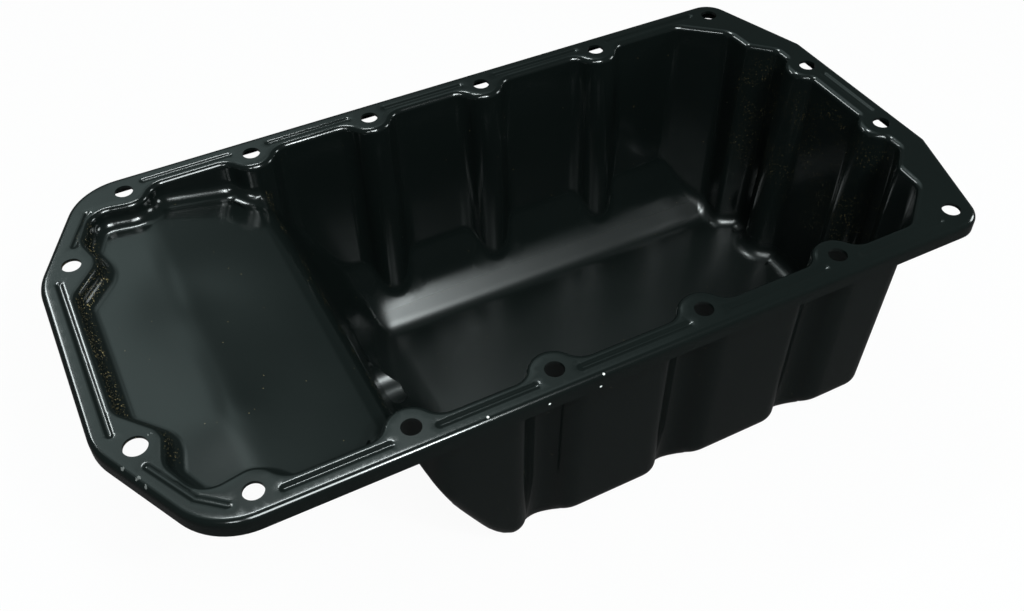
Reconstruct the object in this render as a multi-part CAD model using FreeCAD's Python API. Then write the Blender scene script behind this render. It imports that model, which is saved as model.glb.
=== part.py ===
import FreeCAD, Part
import math
import os

# Engine oil pan pressed from one sheet of steel: a shallow tray at the left end, a deep well at the right,
# a flat bolting flange with a turned-down rim, and ears, flutes and stiffening beads between the bolts.
# Frame: X along the pan, Y across it, Z up. X = 0 is at the second hole of the near row, Y = 0 on the
# centre line, and Z = 0 is the top of the flange. All sizes are millimetres.

V = FreeCAD.Vector

# Sheet and bends
SHEET = 1.5
FLANGE_BEND = 1.5
RIM_BEND = 3.0
RIM_HEIGHT = 8.0

# Flange outline
HALF_WIDTH = 112.2
LEFT_END = -50.3
RIGHT_END = 372.3
LEFT_CHAMFER_X = -20.0
LEFT_CHAMFER_Y = 52.2
RIGHT_CHAMFER_X = 353.0
RIGHT_CHAMFER_Y = 51.1
LEFT_ROW_ROUND = 30.0
LEFT_END_ROUND = 34.0
RIGHT_ROW_ROUND = 14.0
RIGHT_END_ROUND = 6.0

# Distance from the first hole of the near row to the middle of the corner bolts, where the origin is
ORIGIN_X = 172.1

# Bolt holes
HOLE_DIAMETER = 8.8
DOWEL_HOLE_DIAMETER = 10.2
ROW_Y = 100.0
NEAR_HOLES = [0.0, 64.6, 129.0, 203.1, 276.4, 344.2]
FAR_HOLES = [0.0, 64.6, 129.0, 194.6, 266.9, 344.2]
RIGHT_HOLE_X = 361.7
RIGHT_HOLE_Y = 30.5
LEFT_HOLE_X = -34.0
LEFT_HOLE_Y = 58.3

# Drain in the left wall of the well: pressed pad, welded bush, washer and plug
DRAIN_Y = 22.0
DRAIN_Z = -111.0
DRAIN_PAD_X = 76.0
DRAIN_PAD_END_X = 104.0
DRAIN_PAD_RADIUS = 15.0
DRAIN_PAD_BEND = 2.5
DRAIN_HOLE_RADIUS = 7.4
PLUG_RADIUS = 7.0
BUSH_RADIUS = 11.5
BUSH_LENGTH = 11.0
WASHER_RADIUS = 11.0
WASHER_THICKNESS = 1.5
HEAD_FLANGE_RADIUS = 12.0
HEAD_FLANGE_THICKNESS = 2.5
HEX_ACROSS_FLATS = 19.0
HEX_LENGTH = 8.0
SHANK_BEYOND_BUSH = 1.5

# Beads pressed into the flange
BEAD_WIDTH = 3.2
BEAD_RIDGE_WIDTH = 4.6
BEAD_DEPTH = 0.8
BEAD_Y = 104.2
LEFT_BEAD_X = -41.6
LEFT_BEAD_HALF = 48.1
RIGHT_BEAD_X = 364.6
RIGHT_BEAD_HALF = 19.5
BEAD_CLEAR = 10.5
NEAR_CORNER_BEAD = [(-10.5, -101.6), (-20.4, -93.0), (-32.6, -70.0)]
FAR_CORNER_BEAD = [(-19.4, 91.5), (-30.1, 71.0)]

# Walls at the flange and at the reference depth
WALL_Y_TOP = 98.5
WALL_Y_LOW = 94.5
REFERENCE_DEPTH = 129.0
EAR_RADIUS = 11.8
EAR_BLEND = 9.5
FLUTE_ANGLE = 57.0
FLUTE_NOSE_LOW = 10.5
FLUTE_BLEND_LOW = 10.0
FLUTE_DEPTH_LOW = 11.0
TRAY_EAR_DEPTH = 14.0

# Right end wall
RIGHT_WALL_TOP = 356.5
RIGHT_WALL_LOW = 353.0
RIGHT_FLUTE_DEPTH = 10.5
RIGHT_FLUTE_ANGLE = 50.0
RIGHT_FLUTE_BLEND_TOP = 3.5
RIGHT_FLUTE_BLEND_LOW = 8.0

# Wall that cuts the right corners: x, distance in from the row's wall and radius, at both depths
RIGHT_CUT_TOP = [(321.0, 0.0, 10.0), (343.6, 20.0, 10.0), (344.6, 36.0, 6.0)]
RIGHT_CUT_LOW = [(317.0, 0.0, 10.0), (339.6, 20.0, 10.0), (340.6, 34.0, 6.0)]
RIGHT_CUT_END_TOP = (50.6, 6.0)
RIGHT_CUT_END_LOW = (54.6, 8.0)

# Left end wall
LEFT_WALL_TOP = -36.5
LEFT_WALL_LOW = -32.5

# Wall round the left corner bolts: x, distance in from the wall or from the centre line, and radius
LEFT_EAR = [(13.9, 0.0, EAR_BLEND), (5.7, 11.5, EAR_RADIUS)]
LEFT_NOSE = (-17.0, 7.5, 10.0)
LEFT_CHAMFER_WALL = [(-25.4, 72.0, 10.0), (-21.0, 55.4, EAR_RADIUS)]
LEFT_WALL_HALF = 37.0
LEFT_WALL_ROUND = 10.0

# Floors
TRAY_DEPTH = 10.0
TRAY_END_X = 5.0
EDGE_X = 65.5
EDGE_DEPTH = 21.0
WELL_WALL_FOOT_X = 96.0
WELL_DEPTH = 129.0
FAR_BAND_FOOT_Y = 68.0
FAR_BAND_TOP_Y = 84.0
FAR_BAND_ANGLE = 45.0
FAR_APRON_ANGLE = 59.0
NEAR_BAND_FOOT_Y = 80.0
RAMP_ROUND = 60.0
EDGE_ROUND = 14.0
WELL_WALL_ROUND = 30.0
BAND_ROUND = 12.0
FAR_CORNER_X = 58.5
NEAR_CORNER_X = 54.0
CORNER_Y = 90.0
CORNER_RUN = 290.0
CORNER_SKEW = 0.42
CORNER_LEAN = 0.545

# How far the forms reach beyond the pan, and the radius of their corners out there
FORM_LEFT = -80.0
FORM_RIGHT = 420.0
FORM_TOP = 40.0
FORM_SIDE = 130.0
FORM_ROUND = 1.0 + SHEET
PLAN_ABOVE = 8.0
PLAN_BELOW = 4.0
CORNER_LEFT = -300.0
CORNER_RIGHT = 500.0
CORNER_BEYOND = 60.0
CORNER_BELOW = 20.0
DRILL_LENGTH = 30.0
RIM_CLEAR = 6.0
TOLERANCE = 1e-4


def offset_corners(points, grow):
    """Move each side of a counter-clockwise polygon outwards by grow and return the new corners."""
    count = len(points)
    moved = []
    for i in range(count):
        before = points[i - 1]
        here = points[i]
        after = points[(i + 1) % count]
        ax, ay = here[0] - before[0], here[1] - before[1]
        bx, by = after[0] - here[0], after[1] - here[1]
        la, lb = math.hypot(ax, ay), math.hypot(bx, by)
        nax, nay = ay / la, -ax / la
        nbx, nby = by / lb, -bx / lb
        scale = grow / (1.0 + nax * nbx + nay * nby)
        moved.append((here[0] + (nax + nbx) * scale, here[1] + (nay + nby) * scale))
    return moved


def rounded_wire(corners, place, grow=0.0):
    """Closed wire of lines and arcs. corners are (u, v, radius), counter-clockwise."""
    moved = offset_corners([(c[0], c[1]) for c in corners], grow)
    count = len(moved)
    arcs = []
    for i in range(count):
        p = moved[i - 1]
        q = moved[i]
        s = moved[(i + 1) % count]
        ax, ay = p[0] - q[0], p[1] - q[1]
        bx, by = s[0] - q[0], s[1] - q[1]
        la, lb = math.hypot(ax, ay), math.hypot(bx, by)
        ax, ay, bx, by = ax / la, ay / la, bx / lb, by / lb
        turn = math.acos(max(-1.0, min(1.0, ax * bx + ay * by)))
        left = (-ax) * by - (-ay) * bx
        radius = corners[i][2] + (grow if left > 0 else -grow)
        reach = radius / math.tan(turn / 2.0)
        first = (q[0] + ax * reach, q[1] + ay * reach)
        last = (q[0] + bx * reach, q[1] + by * reach)
        mx, my = ax + bx, ay + by
        lm = math.hypot(mx, my)
        span = radius / math.sin(turn / 2.0) - radius
        middle = (q[0] + mx / lm * span, q[1] + my / lm * span)
        arcs.append((first, middle, last))
    edges = []
    for i in range(count):
        first, middle, last = arcs[i]
        following = arcs[(i + 1) % count][0]
        edges.append(Part.Arc(place(*first), place(*middle), place(*last)).toShape())
        edges.append(Part.LineSegment(place(*last), place(*following)).toShape())
    return Part.Wire(edges)


def at_height(z):
    return lambda x, y: V(x, y, z)


def mix(top, low, share):
    return top + (low - top) * share


def flute(hole_x, side, wall_y, tip_depth, nose, blend, angle):
    """Three corners of a V notch round one bolt, in the order of a counter-clockwise outline."""
    slope = math.tan(math.radians(angle))
    sharp = tip_depth + nose * (1.0 / math.cos(math.radians(angle)) - 1.0)
    half = sharp / slope
    corners = [(hole_x - half, -wall_y, blend),
               (hole_x, -wall_y + sharp, nose),
               (hole_x + half, -wall_y, blend)]
    if side > 0:
        corners = [(x, -y, r) for x, y, r in reversed(corners)]
    return corners


def plan_corners(share):
    """Corners of the inside of the walls; share is 0 at the flange and 1 at the reference depth."""
    wall = mix(WALL_Y_TOP, WALL_Y_LOW, share)
    right = mix(RIGHT_WALL_TOP, RIGHT_WALL_LOW, share)
    left = mix(LEFT_WALL_TOP, LEFT_WALL_LOW, share)
    nose = mix(EAR_RADIUS, FLUTE_NOSE_LOW, share)
    blend = mix(EAR_BLEND, FLUTE_BLEND_LOW, share)
    top_tip = WALL_Y_TOP - ROW_Y + EAR_RADIUS
    low_tip = mix(top_tip, FLUTE_DEPTH_LOW, share)
    corners = []

    ear_tip = mix(top_tip, TRAY_EAR_DEPTH, share)
    corners += flute(NEAR_HOLES[1], -1, wall, ear_tip, nose, blend, FLUTE_ANGLE)
    for x in NEAR_HOLES[2:5]:
        corners += flute(x, -1, wall, low_tip, nose, blend, FLUTE_ANGLE)
    corners += right_corner(-1, wall, right, share)
    right_tip = mix(RIGHT_WALL_TOP - RIGHT_HOLE_X + EAR_RADIUS, RIGHT_FLUTE_DEPTH, share)
    for y in (-RIGHT_HOLE_Y, RIGHT_HOLE_Y):
        end_blend = mix(RIGHT_FLUTE_BLEND_TOP, RIGHT_FLUTE_BLEND_LOW, share)
        notch = flute(0.0, -1, 0.0, right_tip, nose, end_blend, RIGHT_FLUTE_ANGLE)
        corners += [(right - v, y + u, r) for u, v, r in notch]
    corners += right_corner(1, wall, right, share)
    for x in reversed(FAR_HOLES[2:5]):
        corners += flute(x, 1, wall, low_tip, nose, blend, FLUTE_ANGLE)
    corners += flute(FAR_HOLES[1], 1, wall, ear_tip, nose, blend, FLUTE_ANGLE)
    corners += left_corner(1, wall, left)
    corners += left_corner(-1, wall, left)
    return corners


def right_corner(side, wall, right, share):
    """Wall that cuts the right corner under its hole, from the near or far row to the end wall."""
    steps = []
    for top, low in zip(RIGHT_CUT_TOP, RIGHT_CUT_LOW):
        x, inset, radius = [mix(a, b, share) for a, b in zip(top, low)]
        steps.append((x, wall - inset, radius))
    end_y, end_radius = [mix(a, b, share) for a, b in zip(RIGHT_CUT_END_TOP, RIGHT_CUT_END_LOW)]
    steps.append((right, end_y, end_radius))
    if side > 0:
        return list(reversed(steps))
    return [(x, -y, r) for x, y, r in steps]


def left_corner(side, wall, left):
    """Wall round the corner hole, the chamfer and the end hole, from the far row to the end wall."""
    shift = left - LEFT_WALL_TOP
    steps = [(x, wall - inset, radius) for x, inset, radius in LEFT_EAR]
    x, inset, radius = LEFT_NOSE
    steps.append((x + shift, wall - inset, radius))
    steps += [(x + shift, y, radius) for x, y, radius in LEFT_CHAMFER_WALL]
    steps.append((left, LEFT_WALL_HALF, LEFT_WALL_ROUND))
    if side > 0:
        return steps
    return [(x, -y, r) for x, y, r in reversed(steps)]


def plan_form(grow):
    """Drafted solid inside the walls, from above the flange to below the floor."""
    levels = [PLAN_ABOVE, -(REFERENCE_DEPTH + PLAN_BELOW)]
    wires = []
    for z in levels:
        wires.append(rounded_wire(plan_corners(-z / REFERENCE_DEPTH), at_height(z), grow))
    return Part.makeLoft(wires, True, True)


def prism(corners, place, direction, grow):
    face = Part.Face(rounded_wire(corners, place, grow))
    return face.extrude(direction)


def floor_forms(grow):
    """Solids above the floor: a profile along the pan, one across it and two planes at the corners."""
    along = [(FORM_LEFT, -TRAY_DEPTH, FORM_ROUND),
             (TRAY_END_X, -TRAY_DEPTH, RAMP_ROUND),
             (EDGE_X, -EDGE_DEPTH, EDGE_ROUND),
             (WELL_WALL_FOOT_X, -WELL_DEPTH, WELL_WALL_ROUND),
             (FORM_RIGHT, -WELL_DEPTH, FORM_ROUND),
             (FORM_RIGHT, FORM_TOP, FORM_ROUND),
             (FORM_LEFT, FORM_TOP, FORM_ROUND)]
    band = math.tan(math.radians(FAR_BAND_ANGLE))
    apron = math.tan(math.radians(FAR_APRON_ANGLE))
    band_top = -WELL_DEPTH + (FAR_BAND_TOP_Y - FAR_BAND_FOOT_Y) * band
    apron_top = band_top + (FORM_SIDE - FAR_BAND_TOP_Y) * apron
    across = [(-FORM_SIDE, -WELL_DEPTH + (FORM_SIDE - NEAR_BAND_FOOT_Y), FORM_ROUND),
              (-NEAR_BAND_FOOT_Y, -WELL_DEPTH, BAND_ROUND),
              (FAR_BAND_FOOT_Y, -WELL_DEPTH, BAND_ROUND),
              (FAR_BAND_TOP_Y, band_top, BAND_ROUND),
              (FORM_SIDE, apron_top, FORM_ROUND),
              (FORM_SIDE, FORM_TOP, FORM_ROUND),
              (-FORM_SIDE, FORM_TOP, FORM_ROUND)]
    first = prism(along, lambda u, v: V(u, -FORM_SIDE, v), V(0, 2.0 * FORM_SIDE, 0), grow)
    second = prism(across, lambda u, v: V(FORM_LEFT, u, v), V(FORM_RIGHT - FORM_LEFT, 0, 0), grow)
    return first, second, well_corner(FAR_CORNER_X, 1.0, grow), well_corner(NEAR_CORNER_X, -1.0, grow)


def well_corner(top_x, side, grow):
    """Slanted plane across the corner of the well between its left wall and one long wall."""
    start_y = CORNER_Y - CORNER_RUN
    start_x = top_x - CORNER_RUN * CORNER_SKEW
    depth = WELL_DEPTH + CORNER_BELOW
    foot_x = start_x + (depth - EDGE_DEPTH) * CORNER_LEAN
    profile = [(CORNER_LEFT, -EDGE_DEPTH, FORM_ROUND),
               (start_x, -EDGE_DEPTH, FORM_ROUND),
               (foot_x, -depth, FORM_ROUND),
               (CORNER_RIGHT, -depth, FORM_ROUND),
               (CORNER_RIGHT, FORM_TOP, FORM_ROUND),
               (CORNER_LEFT, FORM_TOP, FORM_ROUND)]
    length = CORNER_RUN + CORNER_BEYOND
    run = V(length * CORNER_SKEW, side * length, 0)
    return prism(profile, lambda u, v: V(u, side * start_y, v), run, grow)


def pressed_form(grow):
    """Solid bounded by one side of the sheet: the plan cut by the floor forms."""
    solid = plan_form(grow)
    for floor in floor_forms(grow):
        solid = solid.common(floor)
    return solid.Solids[0]


def outline_corners():
    """Corners of the flange's outline with their radii, counter-clockwise."""
    near = [(LEFT_CHAMFER_X, -HALF_WIDTH, LEFT_ROW_ROUND), (RIGHT_CHAMFER_X, -HALF_WIDTH, RIGHT_ROW_ROUND),
            (RIGHT_END, -RIGHT_CHAMFER_Y, RIGHT_END_ROUND)]
    far = [(RIGHT_END, RIGHT_CHAMFER_Y, RIGHT_END_ROUND), (RIGHT_CHAMFER_X, HALF_WIDTH, RIGHT_ROW_ROUND),
           (LEFT_CHAMFER_X, HALF_WIDTH, LEFT_ROW_ROUND), (LEFT_END, LEFT_CHAMFER_Y, LEFT_END_ROUND),
           (LEFT_END, -LEFT_CHAMFER_Y, LEFT_END_ROUND)]
    return near + far


def edges_at(shape, z):
    """Edges that lie wholly at one height."""
    chosen = []
    for edge in shape.Edges:
        box = edge.BoundBox
        if abs(box.ZMin - z) < TOLERANCE and abs(box.ZMax - z) < TOLERANCE:
            chosen.append(edge)
    return chosen


def rim_plate():
    """Flat flange with its edge turned down all the way round."""
    outer = prism(outline_corners(), at_height(-RIM_HEIGHT), V(0, 0, RIM_HEIGHT), 0.0)
    outer = outer.makeFillet(RIM_BEND, edges_at(outer, 0.0))
    inner = prism(outline_corners(), at_height(-RIM_HEIGHT), V(0, 0, RIM_HEIGHT - SHEET), -SHEET)
    inner = inner.makeFillet(RIM_BEND - SHEET, edges_at(inner, -SHEET))
    return outer.cut(inner)


def bolt_holes():
    """Centres and diameters of all holes in the flange."""
    holes = [(x, -ROW_Y, HOLE_DIAMETER) for x in NEAR_HOLES]
    holes += [(x, ROW_Y, HOLE_DIAMETER) for x in FAR_HOLES]
    holes += [(RIGHT_HOLE_X, side * RIGHT_HOLE_Y, HOLE_DIAMETER) for side in (-1, 1)]
    holes += [(LEFT_HOLE_X, LEFT_HOLE_Y, HOLE_DIAMETER), (LEFT_HOLE_X, -LEFT_HOLE_Y, DOWEL_HOLE_DIAMETER)]
    return holes


def beads():
    """Centre lines of the pressed beads between the bolts, as lists of points."""
    lines = []
    for row, side in ((NEAR_HOLES, -1), (FAR_HOLES, 1)):
        for first, last in zip(row, row[1:]):
            lines.append([(first + BEAD_CLEAR, side * BEAD_Y), (last - BEAD_CLEAR, side * BEAD_Y)])
    lines += [NEAR_CORNER_BEAD, FAR_CORNER_BEAD]
    lines.append([(LEFT_BEAD_X, -LEFT_BEAD_HALF), (LEFT_BEAD_X, LEFT_BEAD_HALF)])
    lines.append([(RIGHT_BEAD_X, -RIGHT_BEAD_HALF), (RIGHT_BEAD_X, RIGHT_BEAD_HALF)])
    return lines


def bead_tool(line, width, low, high):
    """Round-ended bars along a bead, from one height to another."""
    points = [V(x, y, low) for x, y in line]
    tool = Part.makeCylinder(width / 2.0, high - low, points[0])
    for start, stop in zip(points, points[1:]):
        run = stop - start
        across = V(-run.y, run.x, 0).normalize() * (width / 2.0)
        ring = [start + across, start - across, stop - across, stop + across, start + across]
        bar = Part.Face(Part.makePolygon(ring)).extrude(V(0, 0, high - low))
        tool = tool.fuse(bar).fuse(Part.makeCylinder(width / 2.0, high - low, stop))
    return tool.removeSplitter()


def drain_cylinder(radius, start_x, stop_x):
    return Part.makeCylinder(radius, stop_x - start_x, V(start_x, DRAIN_Y, DRAIN_Z), V(1, 0, 0))


def drain_pad(grow):
    """Round pocket pressed out of the left wall of the well, with a flat end for the washer."""
    pad = drain_cylinder(DRAIN_PAD_RADIUS + grow, DRAIN_PAD_X - grow, DRAIN_PAD_END_X)
    end = [e for e in pad.Edges if abs(e.BoundBox.XMax - (DRAIN_PAD_X - grow)) < TOLERANCE]
    return pad.makeFillet(DRAIN_PAD_BEND + grow, end)


def drain_parts():
    """Bush inside the pad, washer and plug outside it, all on one axis along X."""
    outside = DRAIN_PAD_X - SHEET
    bush_end = DRAIN_PAD_X + BUSH_LENGTH
    bush = drain_cylinder(BUSH_RADIUS, DRAIN_PAD_X, bush_end)
    bush = bush.cut(drain_cylinder(PLUG_RADIUS, DRAIN_PAD_X, bush_end))
    washer_face = outside - WASHER_THICKNESS
    washer = drain_cylinder(WASHER_RADIUS, washer_face, outside)
    washer = washer.cut(drain_cylinder(DRAIN_HOLE_RADIUS, washer_face, outside))
    flange_face = washer_face - HEAD_FLANGE_THICKNESS
    plug = drain_cylinder(HEAD_FLANGE_RADIUS, flange_face, washer_face)
    plug = plug.fuse(drain_cylinder(PLUG_RADIUS, washer_face, bush_end + SHANK_BEYOND_BUSH))
    corner = HEX_ACROSS_FLATS / math.sqrt(3.0)
    ring = []
    for k in range(7):
        turn = math.radians(60.0 * k)
        y = DRAIN_Y + corner * math.cos(turn)
        z = DRAIN_Z + corner * math.sin(turn)
        ring.append(V(flange_face - HEX_LENGTH, y, z))
    hexagon = Part.Face(Part.makePolygon(ring)).extrude(V(HEX_LENGTH, 0, 0))
    return bush, washer, plug.fuse(hexagon).removeSplitter()


def oil_pan():
    """The whole pressing: rim plate, bent into the walls and floor, with beads, holes and the drain hole."""
    outer = pressed_form(SHEET).fuse(drain_pad(SHEET))
    inner = pressed_form(0.0).fuse(drain_pad(0.0))
    corner = V(FORM_LEFT, -FORM_SIDE, -SHEET / 2.0)
    above = Part.makeBox(FORM_RIGHT - FORM_LEFT, 2.0 * FORM_SIDE, FORM_TOP, corner)
    pan = rim_plate().fuse(outer.cut(above)).removeSplitter()
    pan = pan.makeFillet(FLANGE_BEND, [e for e in edges_at(pan, -SHEET) if inside_rim(e)])
    pan = pan.cut(inner)
    pan = pan.makeFillet(FLANGE_BEND + SHEET, [e for e in edges_at(pan, 0.0) if inside_rim(e)])
    for line in beads():
        pan = pan.fuse(bead_tool(line, BEAD_RIDGE_WIDTH, -SHEET - BEAD_DEPTH, -SHEET))
    for line in beads():
        pan = pan.cut(bead_tool(line, BEAD_WIDTH, -BEAD_DEPTH, SHEET))
    for x, y, diameter in bolt_holes():
        pan = pan.cut(Part.makeCylinder(diameter / 2.0, DRILL_LENGTH, V(x, y, -DRILL_LENGTH / 2.0)))
    return pan.cut(drain_cylinder(DRAIN_HOLE_RADIUS, DRAIN_PAD_X - 2.0 * SHEET, DRAIN_PAD_X + SHEET))


def inside_rim(edge):
    """Whether an edge lies inside the turned-down rim."""
    box = edge.BoundBox
    if box.XMin < LEFT_END + RIM_CLEAR or box.XMax > RIGHT_END - RIM_CLEAR:
        return False
    return box.YMin > RIM_CLEAR - HALF_WIDTH and box.YMax < HALF_WIDTH - RIM_CLEAR


def main():
    os.makedirs("parts", exist_ok=True)
    bush, washer, plug = drain_parts()
    parts = {"oil_pan": oil_pan().Solids[0], "drain_bush": bush, "drain_washer": washer, "drain_plug": plug}
    for name, shape in parts.items():
        shape.translate(V(-ORIGIN_X, 0, 0))
        shape.exportStep("parts/" + name + ".step")


main()
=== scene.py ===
import math

import bpy
import numpy as np
from mathutils import Matrix, Vector
from mathutils.geometry import delaunay_2d_cdt


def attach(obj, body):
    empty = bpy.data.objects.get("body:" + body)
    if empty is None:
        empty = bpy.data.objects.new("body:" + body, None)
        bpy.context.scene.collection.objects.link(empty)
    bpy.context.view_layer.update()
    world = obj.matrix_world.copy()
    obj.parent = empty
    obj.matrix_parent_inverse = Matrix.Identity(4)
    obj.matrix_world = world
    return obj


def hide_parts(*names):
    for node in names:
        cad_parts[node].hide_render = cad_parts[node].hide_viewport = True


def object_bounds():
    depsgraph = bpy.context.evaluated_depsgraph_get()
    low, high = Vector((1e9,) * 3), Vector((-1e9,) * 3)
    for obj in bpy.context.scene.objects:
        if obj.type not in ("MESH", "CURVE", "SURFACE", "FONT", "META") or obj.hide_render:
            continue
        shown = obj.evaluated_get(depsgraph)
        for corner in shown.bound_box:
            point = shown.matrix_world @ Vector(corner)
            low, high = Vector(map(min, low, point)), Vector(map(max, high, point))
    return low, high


bl_info = {
    "name": "Engine oil pan",
    "version": (1, 0, 0),
    "blender": (4, 5, 0),
    "location": "View3D > Sidebar > Oil pan",
    "description": "Dresses the packed oil pan with a smooth pressed shell, paint, a drain and a studio",
    "category": "Object",
}

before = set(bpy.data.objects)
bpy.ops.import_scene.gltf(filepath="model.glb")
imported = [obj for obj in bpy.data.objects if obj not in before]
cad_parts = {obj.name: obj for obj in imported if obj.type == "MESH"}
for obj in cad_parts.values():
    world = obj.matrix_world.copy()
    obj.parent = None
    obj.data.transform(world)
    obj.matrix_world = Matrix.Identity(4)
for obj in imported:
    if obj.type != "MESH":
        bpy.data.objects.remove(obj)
CAD_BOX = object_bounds()
MM = 0.001

# Sheet, bends and rim, in millimetres
SHEET = 1.5
TOP_BEND = 3.0
RIM_BEND = 3.0
RIM_HEIGHT = 8.0
RIM_MIDDLE = 5.0

# Foot of the walls: radius, the largest radius on a steep floor, and how far the foot's last row lies inside
FOOT_RADIUS = 7.5
FOOT_RADIUS_MOST = 13.0
FOOT_REACH = 8.4
FOOT_PROBE = 5.0
FOOT_SLOPES = (-2.5, 0.6)
FOOT_BELOW_BEND = 0.6

# Flange outline; X counts from the first hole of the near row, which lies ORIGIN_X left of the origin
ORIGIN_X = 172.1
HALF_WIDTH = 112.2
LEFT_END = -50.3
RIGHT_END = 372.3
LEFT_CHAMFER = (-20.0, 52.2)
RIGHT_CHAMFER = (353.0, 51.1)
LEFT_ROW_ROUND = 30.0
LEFT_END_ROUND = 34.0
RIGHT_ROW_ROUND = 14.0
RIGHT_END_ROUND = 6.0

# Holes and beads
HOLE_RADIUS = 4.4
LOCATING_RADIUS = 5.1
ROW_Y = 100.0
NEAR_HOLES = [0.0, 64.6, 129.0, 203.1, 276.4, 344.2]
FAR_HOLES = [0.0, 64.6, 129.0, 194.6, 266.9, 344.2]
RIGHT_HOLE = (361.7, 30.5)
LEFT_HOLE = (-34.0, 58.3)
BEAD_HALF = 2.1
BEAD_DEPTH = 0.8
BEAD_Y = 104.2
BEAD_CLEAR = 10.5
NEAR_CORNER_BEAD = [(-10.5, -101.6), (-20.4, -93.0), (-32.6, -70.0)]
FAR_CORNER_BEAD = [(-19.4, 91.5), (-30.1, 71.0)]
LEFT_BEAD = [(-41.6, -48.1), (-41.6, 48.1)]
RIGHT_BEAD = [(364.6, -19.5), (364.6, 19.5)]

# Walls at the flange and at the reference depth
WALL_Y = (98.5, 94.5)
RIGHT_WALL = (356.5, 353.0)
LEFT_WALL = (-36.5, -32.5)
REFERENCE_DEPTH = 129.0
PLAN_ABOVE = 8.0
PLAN_BELOW = 4.0
EAR_RADIUS = 11.8
EAR_BLEND = 9.5
FLUTE_ANGLE = 57.0
FLUTE_NOSE_LOW = 10.5
FLUTE_BLEND_LOW = 10.0
FLUTE_DEPTH_LOW = 11.0
TRAY_EAR_DEPTH = 14.0
RIGHT_FLUTE_DEPTH = 10.5
RIGHT_FLUTE_ANGLE = 50.0
RIGHT_FLUTE_BLEND = (3.5, 8.0)

# Wall that cuts the right corners: x, distance in from the row's wall and radius, at both depths
RIGHT_CUT_TOP = [(321.0, 0.0, 10.0), (343.6, 20.0, 10.0), (344.6, 36.0, 6.0)]
RIGHT_CUT_LOW = [(317.0, 0.0, 10.0), (339.6, 20.0, 10.0), (340.6, 34.0, 6.0)]
RIGHT_CUT_END_TOP = (50.6, 6.0)
RIGHT_CUT_END_LOW = (54.6, 8.0)

# Wall round the left corner bolts: x, distance in from the wall or from the centre line, and radius
LEFT_EAR = [(13.9, 0.0, EAR_BLEND), (5.7, 11.5, EAR_RADIUS)]
LEFT_NOSE = (-17.0, 7.5, 10.0)
LEFT_CHAMFER_WALL = [(-25.4, 72.0, 10.0), (-21.0, 55.4, EAR_RADIUS)]
LEFT_WALL_HALF = 37.0
LEFT_WALL_ROUND = 10.0

# Floors
TRAY_DEPTH = 10.0
TRAY_END_X = 5.0
RAMP_ROUND = 60.0
EDGE = (65.5, -21.0)
EDGE_ROUND = 14.0
WELL_WALL_FOOT_X = 96.0
WELL_WALL_ROUND = 30.0
WELL_DEPTH = 129.0
FAR_BAND_FOOT_Y = 68.0
FAR_BAND_TOP_Y = 84.0
FAR_BAND_ANGLE = 45.0
FAR_APRON_ANGLE = 59.0
NEAR_BAND_FOOT_Y = 80.0
BAND_ROUND = 12.0
FORM_LEFT = -80.0
FORM_RIGHT = 420.0
FORM_SIDE = 130.0

# Slanting planes at the two left corners of the well: where each starts, and how it is rounded into the rest
FAR_CORNER_X = 58.5
NEAR_CORNER_X = 54.0
CORNER_Y = 90.0
CORNER_SKEW = 0.42
CORNER_LEAN = 0.545
CORNER_DROP = 2.0
CORNER_FREE_Y = 15.0
CORNER_ROUND = 22.0
CORNER_BLEND = 16.0
FAR_BELOW = -400.0

# Slight dish and swell of the tray's floor: x, y, reach and rise
TRAY_DISH = (12.0, 18.0, 19.0, -1.6)
TRAY_SWELL = (-2.0, -52.0, 15.0, 0.9)

# Drain
DRAIN_Y = 22.0
DRAIN_Z = -111.0
PAD_X = 76.0
PAD_RADIUS = 15.0
PAD_BEND = 2.5
HOLE_IN_PAD = 7.4
PAD_END_X = 104.0
POCKET_REACH = 12.0

# Fineness of the mesh
ARC_POINTS = 11
COLUMN_STEP = 4.5
BEND_STEPS = 7
WALL_ROWS = 7
FOOT_STEPS = 8
OUTLINE_ARC_POINTS = 13
OUTLINE_STEP = 5.0
HOLE_SIDES = 48
COLLAR_SIDES = 24
COLLAR_WIDTH = 1.6
PAD_SIDES = 64
PAD_BEND_STEPS = 6
BEAD_STEP = 1.1
BEAD_OFFSETS = (-2.5, -1.9, -1.25, -0.6, 0.0, 0.6, 1.25, 1.9, 2.5)
BEAD_END_TURNS = (-60, -30, 0, 30, 60)
BEAD_END_REACHES = (0.8, 1.6, 2.4)
BEAD_ROOM = 3.4
FLOOR_GRIDS = [(-34.0, 54.0, -90.0, 90.0, 3.0, 2.6), (54.0, 124.0, -92.0, 92.0, 0.9, 2.2),
               (125.0, 352.0, -60.0, 62.0, 5.0, 4.0), (125.0, 352.0, 62.0, 93.0, 3.0, 1.1),
               (125.0, 352.0, -93.0, -62.0, 3.0, 1.3)]
FLANGE_GRID = (-50.0, 372.0, -112.0, 112.0, 4.0, 4.0)
FLOOR_ROOM = 0.8
FLANGE_ROOM = 0.6
SMOOTH_ANGLE = 42.0
WELD_DISTANCE = 0.02

# How much the points are bowed outwards, by their squared distance from the middle, while triangles are laid
BOW = 1e-6
UNBOW_ROUNDS = 30

# Dust: low limit, high limit and softness along x, y and z, or None where an axis has no limit
LEFT_FOOT_DUST = ((-38.0, -24.0, 6.0), (-60.0, 85.0, 10.0), (-8.5, -1.5, 1.2))
EDGE_DUST = ((65.2, 67.6, 0.9), None, (-34.0, -17.0, 1.0))
RIGHT_WALL_DUST = ((341.0, 358.0, 3.0), (-50.0, 62.0, 6.0), (-85.0, -12.0, 10.0))
DUST_COLOUR = (0.22, 0.17, 0.075, 1.0)

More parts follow.
